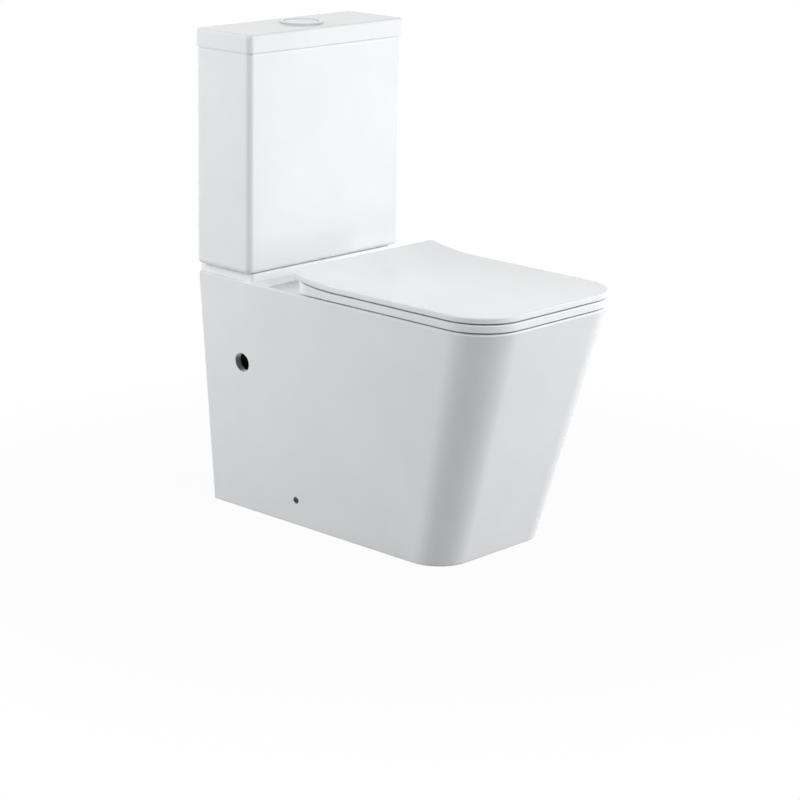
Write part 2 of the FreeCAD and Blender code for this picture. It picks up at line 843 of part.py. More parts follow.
def make_button(name, side):
    """Hollow half-round cap with a socket boss for its push rod."""
    top_z = button_top_z()
    base_z = top_z - button_cap_height
    r = housing_bore_r() - button_gap
    cap = button_block(side, r, button_split_gap / 2, base_z, top_z)
    cap = cap.makeFillet(button_edge_r, edges_at_height(cap, top_z))
    hollow = button_block(side, r - button_cap_wall, button_split_gap / 2 + button_cap_wall,
                          base_z, top_z - button_cap_wall)
    x, y = rod_places()[name]
    return cap.cut(hollow).fuse(post(button_boss_r, x, y, base_z, top_z - button_cap_wall))


def make_rod(name):
    x, y = rod_places()[name]
    tip_z = lever_axis_z() + lever_nose_r + lever_touch_gap
    return post(rod_r, x, y, tip_z, button_top_z() - button_cap_height)


def valve_flange_z():
    return tank_floor_z + valve_washer_height


def tower_base_z():
    return valve_flange_z() + valve_flange_height


def tower_top_z():
    return tower_base_z() + tower_height


def lever_axis_z():
    return tower_top_z() + lever_axis_rise


def make_flush_valve_body():
    """Threaded tail, flange, sill, windowed cage, tower and lever cheeks."""
    flange_z = valve_flange_z()
    base_z = tower_base_z()
    top_z = tower_top_z()
    bore_r = tail_r - tail_wall
    body = post(tail_r, 0, valve_y, tank_base_z - tail_drop, flange_z)
    body = body.fuse([
        post(valve_flange_r, 0, valve_y, flange_z, base_z),
        post(tail_r, 0, valve_y, base_z, base_z + valve_sill_height),
    ])
    body = body.cut(post(bore_r, 0, valve_y, tank_base_z - tail_drop, base_z + valve_sill_height))
    tower = ring(cage_r, cage_r - cage_wall, 0, valve_y, base_z, top_z)
    window = Part.makeCylinder(cage_r, cage_window_height, Vector(0, valve_y, base_z), Vector(0, 0, 1),
                               360 / cage_leg_count - cage_leg_angle)
    for index in range(cage_leg_count):
        cut = window.copy()
        cut.rotate(Vector(0, valve_y, 0), Vector(0, 0, 1), index * 360 / cage_leg_count + cage_leg_angle / 2)
        tower = tower.cut(cut)
    cap = ring(cage_r, tube_r + tube_guide_gap, 0, valve_y, top_z - tower_cap, top_z)
    pieces = [tower, cap]
    axis_z = lever_axis_z()
    for x in (-rod_x, rod_x):
        for offset in (-1, 1):
            middle = x + offset * (lever_width / 2 + lever_cheek_gap + lever_cheek / 2)
            pieces.append(box(middle - lever_cheek / 2, middle + lever_cheek / 2,
                              valve_y - lever_cheek_length / 2, valve_y + lever_cheek_length / 2,
                              top_z - tower_cap, axis_z + 2 * lever_pin_r))
    body = body.fuse(pieces)
    span = rod_x + lever_width / 2 + lever_cheek_gap + lever_cheek
    inner = rod_x - lever_width / 2 - lever_cheek_gap - lever_cheek
    pin_hole = lever_pin_r + lever_pin_gap
    return body.cut([bar(pin_hole, -span, -inner, valve_y, axis_z),
                     bar(pin_hole, inner, span, valve_y, axis_z)])


def make_lever_pins():
    span = rod_x + lever_width / 2 + lever_cheek_gap + lever_cheek
    inner = rod_x - lever_width / 2 - lever_cheek_gap - lever_cheek
    z = lever_axis_z()
    return Part.makeCompound([bar(lever_pin_r, -span, -inner, valve_y, z),
                              bar(lever_pin_r, inner, span, valve_y, z)])


def make_flush_lever(x, lift_arm, crank):
    """Rocker with a round nose under its push rod and another under the lifting yoke."""
    z = lever_axis_z()
    x0 = x - lever_width / 2
    x1 = x + lever_width / 2
    half = lever_thickness / 2
    points = [(-rod_y, half), (0, half), (lift_arm, half - crank),
              (lift_arm, -half - crank), (0, -half), (-rod_y, -half)]
    outline = [Vector(x0, valve_y + y, z + rise) for y, rise in points]
    arm = Part.Face(Part.makePolygon(outline + outline[:1])).extrude(Vector(lever_width, 0, 0))
    arm = arm.fuse([
        bar(lever_nose_r, x0, x1, valve_y - rod_y, z),
        bar(lever_nose_r, x0, x1, valve_y + lift_arm, z - crank),
        bar(lever_nose_r, x0, x1, valve_y, z),
    ])
    return arm.cut(bar(lever_pin_r + lever_pin_gap, x0, x1, valve_y, z))


def sill_z():
    return tower_base_z() + valve_sill_height


def yoke_base_z():
    return lever_axis_z() + lever_nose_r + lever_touch_gap


def make_overflow_tube():
    """Lift tube that also takes the overflow, with the seal's foot."""
    seal_top = sill_z() + seal_gap + seal_height
    top_z = yoke_base_z() + yoke_height + tube_top_rise
    tube = post(tube_r, 0, valve_y, sill_z() - tube_nose, top_z)
    tube = tube.fuse(post(tube_foot_r, 0, valve_y, seal_top, seal_top + tube_foot_height))
    return tube.cut(post(tube_r - tube_wall, 0, valve_y, sill_z() - tube_nose, top_z))


def make_lift_yoke():
    """Yoke on the lift tube, over the noses of both levers."""
    base_z = yoke_base_z()
    half = rod_x + lever_width / 2
    collar_r = tube_r + yoke_collar
    yoke = slab(-half, half, valve_y - collar_r, valve_y + full_lift_arm + yoke_margin,
                base_z, base_z + yoke_height, collar_r, yoke_back_r)
    return yoke.cut(post(tube_r + hole_clearance, 0, valve_y, base_z, base_z + yoke_height))


def make_flush_seal():
    base_z = sill_z() + seal_gap
    return ring(seal_r, tube_r + hole_clearance, 0, valve_y, base_z, base_z + seal_height)


def make_valve_fixings():
    """Inner washer, backnut and foam doughnut of the flush valve."""
    thread_r = tail_r + thread_gap
    save("flush_valve_washer", ring(valve_flange_r, thread_r, 0, valve_y, tank_floor_z, valve_flange_z()))
    nut_z = tank_base_z - backnut_height
    nut = hexagon(backnut_r, 0, valve_y, nut_z, tank_base_z)
    save("flush_valve_backnut", nut.cut(post(thread_r, 0, valve_y, nut_z, tank_base_z)))
    recess_z = plinth_top_z - inlet_recess_depth
    save("coupling_doughnut", ring(inlet_recess_r - doughnut_gap, backnut_r + doughnut_gap, 0, valve_y,
                                   recess_z, tank_base_z))


def fill_flange_z():
    return tank_floor_z + fill_washer_height


def stem_top_z():
    return fill_flange_z() + fill_flange_height + fill_stem_height


def make_fill_valve_body():
    """Threaded inlet tail, flange and stem of the fill valve."""
    tail_z = tank_base_z - fill_tail_drop
    flange_z = fill_flange_z()
    body = post(fill_neck_r, fill_x, valve_y, tail_z, flange_z).fuse([
        post(fill_tail_r, fill_x, valve_y, tail_z, tail_z + fill_tail_thread),
        post(fill_flange_r, fill_x, valve_y, flange_z, flange_z + fill_flange_height),
        post(fill_stem_r, fill_x, valve_y, flange_z + fill_flange_height, stem_top_z()),
    ])
    return body.cut(post(fill_bore_r, fill_x, valve_y, tail_z, stem_top_z()))


def float_pivot():
    return fill_x - link_reach + float_lever_arm, stem_top_z() + fill_head_height + float_pivot_rise


def make_fill_valve_head():
    """Valve head with two cheeks that carry the float lever."""
    base_z = stem_top_z()
    top_z = base_z + fill_head_height
    x, z = float_pivot()
    head = post(fill_head_r, fill_x, valve_y, base_z, top_z)
    cheek_in = float_lever_width / 2 + float_cheek_gap
    half = 2 * float_pin_r
    for side in (-1, 1):
        y0, y1 = sorted((side * cheek_in, side * (cheek_in + float_cheek)))
        head = head.fuse(box(x - half, x + half, valve_y + y0, valve_y + y1, top_z - float_cheek, z + half))
    hole = Part.makeCylinder(float_pin_r + lever_pin_gap, 2 * (cheek_in + float_cheek),
                             Vector(x, valve_y - cheek_in - float_cheek, z), Vector(0, 1, 0))
    return head.cut(hole)


def make_float_lever_pin():
    x, z = float_pivot()
    half = float_lever_width / 2 + float_cheek_gap + float_cheek
    return Part.makeCylinder(float_pin_r, 2 * half, Vector(x, valve_y - half, z), Vector(0, 1, 0))


def link_end_z():
    """Height of the lever's end at the link, with the cistern empty."""
    return float_pivot()[1] + float_lever_arm * math.sin(math.radians(float_lever_tilt))


def make_float_lever():
    """Lever from the valve head to the float's link, forked at its end."""
    x, z = float_pivot()
    half = float_lever_thickness / 2
    width = float_lever_width
    tip = float_lever_arm + link_collar_r
    eye_r = 2 * float_pin_r
    lever = box(x - tip, x, valve_y - width / 2, valve_y + width / 2, z - half, z + half)
    eye = Part.makeCylinder(eye_r, width, Vector(x, valve_y - width / 2, z), Vector(0, 1, 0))
    lever = lever.fuse(eye)
    slot = link_r + link_slot_gap
    lever = lever.cut([
        box(x - tip, x - float_lever_arm + link_collar_r, valve_y - slot, valve_y + slot, z - half, z + half),
        Part.makeCylinder(float_pin_r + lever_pin_gap, width, Vector(x, valve_y - width / 2, z),
                          Vector(0, 1, 0)),
    ])
    lever.rotate(Vector(x, valve_y, z), Vector(0, 1, 0), float_lever_tilt)
    return lever


def float_top_z():
    return stem_top_z() - float_below_head


def make_float_cup():
    """Upturned cup that slides on the stem."""
    top_z = float_top_z()
    base_z = top_z - float_height
    inner_r = fill_stem_r + float_stem_gap
    cup = ring(float_r, inner_r, fill_x, valve_y, base_z, top_z)
    hollow = ring(float_r - float_wall, inner_r + float_wall, fill_x, valve_y, base_z, top_z - float_wall)
    return cup.cut(hollow)


def make_float_link():
    """Link rod on the float, with a collar below and above the lever's fork."""
    x = fill_x - link_reach
    end_z = link_end_z()
    reach = float_lever_thickness / 2 + link_collar_gap
    upper_z = end_z + reach
    lower_z = end_z - reach - link_collar_height
    return post(link_r, x, valve_y, float_top_z(), upper_z + link_collar_height).fuse([
        post(link_collar_r, x, valve_y, lower_z, lower_z + link_collar_height),
        post(link_collar_r, x, valve_y, upper_z, upper_z + link_collar_height),
    ])


def make_fill_fixings():
    """Inner washer and backnut of the fill valve."""
    thread_r = fill_tail_r + thread_gap
    save("fill_valve_washer", ring(fill_flange_r, thread_r, fill_x, valve_y, tank_floor_z, fill_flange_z()))
    nut_z = tank_base_z - fill_nut_height
    nut = hexagon(fill_nut_r, fill_x, valve_y, nut_z, tank_base_z)
    save("fill_valve_backnut", nut.cut(post(thread_r, fill_x, valve_y, nut_z, tank_base_z)))


def make_coupling():
    """Bolts, washers and wing nuts that draw the cistern down on the pan."""
    bolts = []
    soft = []
    plates = []
    nuts = []
    head_z = tank_floor_z + bolt_washer_height
    nut_z = deck_under_z - plate_washer_height
    hole_r = bolt_r + hole_clearance
    for x, y in coupling_bolt_places():
        shank = post(bolt_r, x, y, nut_z - wing_nut_height - bolt_tip, head_z)
        bolts.append(shank.fuse(hexagon(bolt_head_r, x, y, head_z, head_z + bolt_head_height)))
        soft.append(ring(bolt_washer_r, hole_r, x, y, tank_floor_z, head_z))
        plates.append(ring(plate_washer_r, hole_r, x, y, nut_z, deck_under_z))
        nuts.append(wing_nut(x, y, nut_z, bolt_r))
    save("coupling_bolts", Part.makeCompound(bolts))
    save("coupling_bolt_washers", Part.makeCompound(soft))
    save("coupling_plate_washers", Part.makeCompound(plates))
    save("coupling_wing_nuts", Part.makeCompound(nuts))


def main():
    os.makedirs("parts", exist_ok=True)
    save("pan", make_pan())
    make_skirt()
    save("pan_bowl", make_pan_bowl())
    save("pan_trapway", make_pan_trapway())
    save("pan_flush_duct", make_pan_duct())
    save("seat_ring", make_seat_ring())
    save("seat_cover", make_seat_cover())
    save("hinge_posts", make_hinge_posts())
    save("hinge_pins", make_hinge_pins())
    make_hinge_fixings()
    pad_z = pan_height + buffer_clearance
    save("seat_buffers", buffer_pads(seat_buffer_side, seat_buffer_front, seat_buffer_back,
                                     pad_z, seat_base_z))
    pad_z = seat_top_z + buffer_clearance
    save("cover_buffers", buffer_pads(cover_buffer_side, cover_buffer_front, cover_buffer_back,
                                      pad_z, seat_top_z + cover_gap))
    save("cistern_tank", make_cistern_tank())
    save("cistern_lid", make_cistern_lid())
    save("button_housing", make_button_housing())
    save("button_housing_nut", make_button_housing_nut())
    save("full_flush_button", make_button("full", -1))
    save("half_flush_button", make_button("half", 1))
    save("full_flush_rod", make_rod("full"))
    save("half_flush_rod", make_rod("half"))
    save("flush_valve_body", make_flush_valve_body())
    save("lever_pins", make_lever_pins())
    save("full_flush_lever", make_flush_lever(-rod_x, full_lift_arm, 0))
    save("half_flush_lever", make_flush_lever(rod_x, half_lift_arm, half_lift_crank))
    save("overflow_tube", make_overflow_tube())
    save("lift_yoke", make_lift_yoke())
    save("flush_seal", make_flush_seal())
    make_valve_fixings()
    save("fill_valve_body", make_fill_valve_body())
    save("fill_valve_head", make_fill_valve_head())
    save("float_lever", make_float_lever())
    save("float_lever_pin", make_float_lever_pin())
    save("float_cup", make_float_cup())
    save("float_link", make_float_link())
    make_fill_fixings()
    make_coupling()


main()
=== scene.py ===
import json
import math

import bmesh
import bpy
from mathutils import Matrix, Vector


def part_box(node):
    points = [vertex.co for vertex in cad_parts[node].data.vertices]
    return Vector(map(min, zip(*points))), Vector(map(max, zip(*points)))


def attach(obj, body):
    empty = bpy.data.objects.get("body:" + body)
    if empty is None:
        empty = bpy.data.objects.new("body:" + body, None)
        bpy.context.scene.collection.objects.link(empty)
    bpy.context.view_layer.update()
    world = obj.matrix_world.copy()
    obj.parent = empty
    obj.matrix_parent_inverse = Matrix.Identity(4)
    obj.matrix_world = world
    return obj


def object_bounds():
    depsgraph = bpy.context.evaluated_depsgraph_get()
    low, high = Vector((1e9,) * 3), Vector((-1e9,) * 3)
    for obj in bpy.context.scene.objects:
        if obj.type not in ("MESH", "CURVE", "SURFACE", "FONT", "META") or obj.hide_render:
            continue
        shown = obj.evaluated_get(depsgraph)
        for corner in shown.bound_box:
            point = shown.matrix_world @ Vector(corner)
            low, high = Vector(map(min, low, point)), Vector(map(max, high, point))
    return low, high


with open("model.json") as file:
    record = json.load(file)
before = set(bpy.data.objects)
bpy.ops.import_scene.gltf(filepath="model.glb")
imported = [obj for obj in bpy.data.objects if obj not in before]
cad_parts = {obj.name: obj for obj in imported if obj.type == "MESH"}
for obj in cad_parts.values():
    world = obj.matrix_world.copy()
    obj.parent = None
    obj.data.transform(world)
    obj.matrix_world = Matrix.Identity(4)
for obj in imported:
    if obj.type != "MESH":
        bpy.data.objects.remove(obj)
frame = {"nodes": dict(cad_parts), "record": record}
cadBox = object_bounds()
nodes = frame["nodes"]
scene = bpy.context.scene
scene.view_settings.view_transform = "Standard"
print("frame loaded:", len(nodes), "nodes")

mm = 0.001
noiseSpan = (0.3, 0.7)  # most values of a noise texture lie in here


# node helpers

def emptyTree(owner):
    owner.use_nodes = True
    owner.node_tree.nodes.clear()
    return owner.node_tree


def feed(tree, socket, value):
    if isinstance(value, bpy.types.NodeSocket):
        tree.links.new(value, socket)
    else:
        socket.default_value = value


def mathOn(tree, operation, first, second=None):
    step = tree.nodes.new("ShaderNodeMath")
    step.operation = operation
    feed(tree, step.inputs[0], first)
    if second is not None:
        feed(tree, step.inputs[1], second)
    return step.outputs["Value"]


def vectorOn(tree, operation, first, second):
    step = tree.nodes.new("ShaderNodeVectorMath")
    step.operation = operation
    feed(tree, step.inputs[0], first)
    feed(tree, step.inputs[1], second)
    return step.outputs["Vector"]


def lengthOn(tree, vector):
    step = tree.nodes.new("ShaderNodeVectorMath")
    step.operation = "LENGTH"
    tree.links.new(vector, step.inputs[0])
    return step.outputs["Value"]


def mixOn(tree, kind, factor, first, second):
    mix = tree.nodes.new("ShaderNodeMix")
    mix.data_type = kind
    tree.links.new(factor, mix.inputs["Factor"])
    feed(tree, mix.inputs["A"], first)
    feed(tree, mix.inputs["B"], second)
    return mix.outputs["Result"]


def noiseOn(tree, coords, perMetre, detail=3.0, rough=0.5, warp=0.0):
    noise = tree.nodes.new("ShaderNodeTexNoise")
    noise.inputs["Scale"].default_value = perMetre
    noise.inputs["Detail"].default_value = detail
    noise.inputs["Roughness"].default_value = rough
    noise.inputs["Distortion"].default_value = warp
    tree.links.new(coords, noise.inputs["Vector"])
    return noise.outputs["Fac"]


def rampOn(tree, value, dark, light, span=noiseSpan):
    ramp = tree.nodes.new("ShaderNodeValToRGB")
    for element, place, colour in zip(ramp.color_ramp.elements, span, (dark, light)):
        element.position = place
        element.color = (*colour, 1.0)
    tree.links.new(value, ramp.inputs["Fac"])
    return ramp.outputs["Color"]


def rangeOn(tree, value, low, high, span=noiseSpan, easing="LINEAR"):
    limits = tree.nodes.new("ShaderNodeMapRange")
    limits.interpolation_type = easing
    limits.inputs["From Min"].default_value = span[0]
    limits.inputs["From Max"].default_value = span[1]
    limits.inputs["To Min"].default_value = low
    limits.inputs["To Max"].default_value = high
    tree.links.new(value, limits.inputs["Value"])
    return limits.outputs["Result"]


def bumpOn(tree, height, depth, under=None):
    bump = tree.nodes.new("ShaderNodeBump")
    bump.inputs["Strength"].default_value = 1.0
    bump.inputs["Distance"].default_value = depth
    tree.links.new(height, bump.inputs["Height"])
    if under is not None:
        tree.links.new(under, bump.inputs["Normal"])
    return bump.outputs["Normal"]


def startMaterial(name):
    mat = bpy.data.materials.new(name)
    tree = emptyTree(mat)
    out = tree.nodes.new("ShaderNodeOutputMaterial")
    shader = tree.nodes.new("ShaderNodeBsdfPrincipled")
    tree.links.new(shader.outputs["BSDF"], out.inputs["Surface"])
    coords = tree.nodes.new("ShaderNodeTexCoord").outputs["Object"]  # metres, as the CAD
    return mat, tree, shader, coords


# vitreous glaze, with a bare biscuit line where the foot stands in the kiln
glaze = {
    "thin": (0.800, 0.812, 0.824),
    "thick": (0.836, 0.848, 0.858),
    "biscuit": (0.72, 0.69, 0.63),
    "biscuitTop": 1.6 * mm,
    "biscuitRough": 0.8,
    # painted shade: grey for the side-hole walls, in place of the shade inside the holes
    "bore": (0.42, 0.412, 0.40),
    "boreReach": 0.3 * mm,
    "skirtFrom": 118.0 * mm,
    "cloudsPerMetre": 7.0,
    "wavesPerMetre": 34.0,
    "waveDepth": 0.10 * mm,
    "peelPerMetre": 420.0,
    "peelDepth": 0.012 * mm,
    "shine": (0.045, 0.085),
    "coat": 0.30,
    "coatRough": 0.03,
    "ior": 1.5,
}


# painted shade: the walls of the side holes are tinted grey, standing in for the shade inside the holes
def paintedBoreShade(tree, coords, across, tint):
    skirt = mathOn(tree, "GREATER_THAN", mathOn(tree, "ABSOLUTE", across), glaze["skirtFrom"])
    for row in frame["record"]["mounts"]:
        if row["kind"] != "bore" or row["pos_m"][0] > 0:
            continue
        place = vectorOn(tree, "SUBTRACT", coords, row["pos_m"])
        radius = lengthOn(tree, vectorOn(tree, "MULTIPLY", place, (0.0, 1.0, 1.0)))
        inside = mathOn(tree, "LESS_THAN", radius, row["dims"]["r_mm"] * mm + glaze["boreReach"])
        wall = mathOn(tree, "MULTIPLY", inside, skirt)
        tint = mixOn(tree, "RGBA", wall, tint, (*glaze["bore"], 1.0))
    return tint


def glazeMaterial():
    mat, tree, shader, coords = startMaterial("whiteGlaze")
    split = tree.nodes.new("ShaderNodeSeparateXYZ")
    tree.links.new(coords, split.inputs["Vector"])
    foot = mathOn(tree, "LESS_THAN", split.outputs["Z"], glaze["biscuitTop"])
    clouds = noiseOn(tree, coords, glaze["cloudsPerMetre"], detail=4.0, rough=0.55, warp=0.4)
    tint = rampOn(tree, clouds, glaze["thin"], glaze["thick"])
    # painted shade on the walls of the side holes
    tint = paintedBoreShade(tree, coords, split.outputs["X"], tint)
    tint = mixOn(tree, "RGBA", foot, tint, (*glaze["biscuit"], 1.0))
    tree.links.new(tint, shader.inputs["Base Color"])
    shine = rangeOn(tree, noiseOn(tree, coords, glaze["wavesPerMetre"], detail=2.0), *glaze["shine"])
    shine = mixOn(tree, "FLOAT", foot, shine, glaze["biscuitRough"])
    tree.links.new(shine, shader.inputs["Roughness"])
    waves = noiseOn(tree, coords, glaze["wavesPerMetre"], detail=1.5)
    peel = noiseOn(tree, coords, glaze["peelPerMetre"], detail=2.0)
    normal = bumpOn(tree, peel, glaze["peelDepth"], bumpOn(tree, waves, glaze["waveDepth"]))
    tree.links.new(normal, shader.inputs["Normal"])
    shader.inputs["Coat Weight"].default_value = glaze["coat"]
    shader.inputs["Coat Roughness"].default_value = glaze["coatRough"]
    shader.inputs["IOR"].default_value = glaze["ior"]
    return mat


# plastics and rubbers; grain is per metre, depth in millimetres
plastics = {
    "seat_plastic": {
        "name": "seatResin", "dark": (0.820, 0.832, 0.842), "light": (0.846, 0.856, 0.866),
        "perMetre": 9.0, "shine": (0.06, 0.11), "grain": 520.0, "depth": 0.010, "coat": 0.25, "coatRough": 0.04,
    },
    "nylon": {
        "name": "naturalNylon", "dark": (0.70, 0.69, 0.65), "light": (0.80, 0.79, 0.75),
        "perMetre": 60.0, "shine": (0.38, 0.52), "grain": 900.0, "depth": 0.03,
    },
    "valve_plastic": {
        "name": "valveWhite", "dark": (0.74, 0.75, 0.75), "light": (0.80, 0.81, 0.81),
        "perMetre": 30.0, "shine": (0.28, 0.40), "grain": 800.0, "depth": 0.02,
    },
    "lever_plastic": {
        "name": "leverBlueGrey", "dark": (0.20, 0.28, 0.37), "light": (0.26, 0.35, 0.45),
        "perMetre": 45.0, "shine": (0.32, 0.46), "grain": 800.0, "depth": 0.03,
    },
    "float_plastic": {
        "name": "floatGrey", "dark": (0.33, 0.35, 0.38), "light": (0.41, 0.43, 0.46),
        "perMetre": 40.0, "shine": (0.36, 0.50), "grain": 800.0, "depth": 0.03,
    },
    "pad_rubber": {
        "name": "padRubber", "dark": (0.66, 0.66, 0.65), "light": (0.74, 0.74, 0.73),
        "perMetre": 120.0, "shine": (0.55, 0.70), "grain": 1200.0, "depth": 0.03,
    },
    "black_rubber": {
        "name": "blackRubber", "dark": (0.018, 0.018, 0.019), "light": (0.034, 0.034, 0.035),
        "perMetre": 80.0, "shine": (0.55, 0.75), "grain": 1000.0, "depth": 0.04,
    },
}
shinePatches = 2.5  # roughness varies finer than colour


def plasticMaterial(spec):
    mat, tree, shader, coords = startMaterial(spec["name"])
    clouds = noiseOn(tree, coords, spec["perMetre"], warp=0.3)
    tree.links.new(rampOn(tree, clouds, spec["dark"], spec["light"]), shader.inputs["Base Color"])
    patches = noiseOn(tree, coords, spec["perMetre"] * shinePatches)
    tree.links.new(rangeOn(tree, patches, *spec["shine"]), shader.inputs["Roughness"])
    grain = noiseOn(tree, coords, spec["grain"], detail=2.0)
    tree.links.new(bumpOn(tree, grain, spec["depth"] * mm), shader.inputs["Normal"])
    if "coat" in spec:
        shader.inputs["Coat Weight"].default_value = spec["coat"]
        shader.inputs["Coat Roughness"].default_value = spec["coatRough"]
    return mat


# open cells of the foam seal
foam = {
    "cell": (0.012, 0.012, 0.013),
    "skin": (0.055, 0.055, 0.057),
    "cellSpan": (0.05, 0.45),
    "cellsPerMetre": 650.0,
    "shine": (0.95, 0.75),
    "depth": 0.35 * mm,
}


def foamMaterial():
    mat, tree, shader, coords = startMaterial("foamRubber")
    cells = tree.nodes.new("ShaderNodeTexVoronoi")
    cells.inputs["Scale"].default_value = foam["cellsPerMetre"]
    tree.links.new(coords, cells.inputs["Vector"])
    distance = cells.outputs["Distance"]
    tint = rampOn(tree, distance, foam["cell"], foam["skin"], foam["cellSpan"])
    tree.links.new(tint, shader.inputs["Base Color"])
    tree.links.new(rangeOn(tree, distance, *foam["shine"]), shader.inputs["Roughness"])
    tree.links.new(bumpOn(tree, distance, foam["depth"]), shader.inputs["Normal"])
    return mat


# plated and plain metals; the stretch draws the noise into streaks
metals = {
    "hinge_chrome": {
        "name": "hingeChrome", "dark": (0.60, 0.61, 0.63), "light": (0.68, 0.69, 0.70),
        "stretch": (60.0, 60.0, 60.0), "shine": (0.05, 0.11), "depth": 0.003,
    },
    "button_chrome": {
        "name": "buttonChrome", "dark": (0.58, 0.59, 0.61), "light": (0.66, 0.67, 0.68),
        "stretch": (60.0, 60.0, 60.0), "shine": (0.06, 0.13), "depth": 0.003,
    },
    "steel": {
        "name": "plainSteel", "dark": (0.42, 0.42, 0.42), "light": (0.56, 0.56, 0.55),
        "stretch": (900.0, 900.0, 60.0), "shine": (0.24, 0.40), "depth": 0.012,
    },
}


def metalMaterial(spec):
    mat, tree, shader, coords = startMaterial(spec["name"])
    mapping = tree.nodes.new("ShaderNodeMapping")
    mapping.inputs["Scale"].default_value = spec["stretch"]
    tree.links.new(coords, mapping.inputs["Vector"])
    streaks = noiseOn(tree, mapping.outputs["Vector"], 1.0, detail=4.0, rough=0.6)
    tree.links.new(rampOn(tree, streaks, spec["dark"], spec["light"]), shader.inputs["Base Color"])
    tree.links.new(rangeOn(tree, streaks, *spec["shine"]), shader.inputs["Roughness"])
    tree.links.new(bumpOn(tree, streaks, spec["depth"] * mm), shader.inputs["Normal"])
    shader.inputs["Metallic"].default_value = 1.0
    return mat


finishes = {"ceramic": glazeMaterial(), "foam_rubber": foamMaterial()}
finishes.update({slotName: plasticMaterial(spec) for slotName, spec in plastics.items()})
finishes.update({slotName: metalMaterial(spec) for slotName, spec in metals.items()})
for row in frame["record"]["subparts"]:
    node = nodes[row["node"]]
    node.data.materials.clear()
    node.data.materials.append(finishes[row["material_slot"]])
print("finishes on", len(finishes), "slots")


def newPiece(name, mesh, mat):
    data = bpy.data.meshes.new(name)
    mesh.to_mesh(data)
    mesh.free()
    data.materials.append(mat)
    piece = bpy.data.objects.new(name, data)
    scene.collection.objects.link(piece)
    return piece


# screw threads, as helical ridges on the CAD shanks, in millimetres
threads = {
    "couplingBoltThread": {
        "node": "coupling_bolts", "slot": "steel", "across": (-85.0, 85.0),
        "radius": 4.0, "low": 370.0, "high": 396.0, "pitch": 1.25, "depth": 0.45,
    },
    "hingeStudThread": {
        "node": "hinge_studs", "slot": "steel", "across": (-77.5, 77.5),
        "radius": 4.0, "low": 375.0, "high": 396.0, "pitch": 1.25, "depth": 0.45,
    },
    "fillTailThread": {  # centred on the washer that sits round the tail
        "node": "fill_valve_washer", "slot": "valve_plastic", "across": (125.0,),
        "radius": 10.25, "low": 388.5, "high": 421.5, "pitch": 1.81, "depth": 0.4,
    },
    "housingThread": {
        "node": "button_housing", "slot": "button_chrome", "across": (0.0,),
        "radius": 32.25, "low": 790.0, "high": 809.5, "pitch": 2.5, "depth": 0.55,
    },
}
# the ridge's section, as shares of depth and pitch, from the lower root over the crest to the upper root
ridgeSection = ((-0.4, -0.44), (1.0, -0.08), (1.0, 0.08), (-0.4, 0.44))
ridgeSteps = 28  # per turn
leastRidge = 0.02


def threadRidge(mesh, centre, spec):
    count = int((spec["high"] - spec["low"]) / spec["pitch"] * ridgeSteps)
    rings = []
    for i in range(count + 1):
        grow = max(min(1.0, i / ridgeSteps, (count - i) / ridgeSteps), leastRidge)  # runs out at both ends
        angle = 2 * math.pi * i / ridgeSteps
        out = Vector((math.cos(angle), math.sin(angle), 0.0))
        base = Vector((*centre, spec["low"] + spec["pitch"] * i / ridgeSteps))
        ring = []
        for reach, rise in ridgeSection:
            radius = spec["radius"] + spec["depth"] * grow * reach
            point = base + out * radius + Vector((0.0, 0.0, spec["pitch"] * rise))
            ring.append(mesh.verts.new(point * mm))
        rings.append(ring)
    sides = len(ridgeSection)
    for a, b in zip(rings, rings[1:]):
        for j in range(sides):
            k = (j + 1) % sides
            mesh.faces.new((a[j], a[k], b[k], b[j]))
    mesh.faces.new(list(reversed(rings[0])))
    mesh.faces.new(rings[-1])


bodyOf = {node: body for body, group in frame["record"]["behaviour"]["bodies"].items() for node in group}
for name, spec in threads.items():
    low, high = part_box(spec["node"])
    middleY = (low.y + high.y) / 2 / mm
    mesh = bmesh.new()
    for x in spec["across"]:
        threadRidge(mesh, (x, middleY), spec)
    bmesh.ops.recalc_face_normals(mesh, faces=mesh.faces)
    piece = newPiece(name, mesh, finishes[spec["slot"]])
    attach(piece, bodyOf[spec["node"]])
print("threads cut")


# white room: the background shows to camera, gloss and glass, a plain grey lights the rest
room = {"grey": (0.06, 0.06, 0.0606, 1.0), "white": (1.0, 1.0, 1.0, 1.0)}


def seenDirectly(tree):
    path = tree.nodes.new("ShaderNodeLightPath").outputs
    first = mathOn(tree, "MAXIMUM", path["Is Camera Ray"], path["Is Glossy Ray"])
    return mathOn(tree, "MAXIMUM", first, path["Is Transmission Ray"])


def blendOn(tree, factor, first, second, out):
    mix = tree.nodes.new("ShaderNodeMixShader")
    tree.links.new(factor, mix.inputs["Fac"])
    tree.links.new(first, mix.inputs[1])
    tree.links.new(second, mix.inputs[2])
    tree.links.new(mix.outputs["Shader"], out.inputs["Surface"])


def colouredShader(tree, kind, colour):
    shader = tree.nodes.new(kind)
    shader.inputs["Color"].default_value = colour
    return shader.outputs[0]


def makeRoom():
    world = bpy.data.worlds.new("room")
    scene.world = world
    tree = emptyTree(world)
    out = tree.nodes.new("ShaderNodeOutputWorld")
    ambient = colouredShader(tree, "ShaderNodeBackground", room["grey"])
    white = colouredShader(tree, "ShaderNodeBackground", room["white"])
    blendOn(tree, seenDirectly(tree), ambient, white, out)


def makeQuad(name, corners, mat):
    mesh = bmesh.new()
    mesh.faces.new([mesh.verts.new(corner) for corner in corners])
    return newPiece(name, mesh, mat)


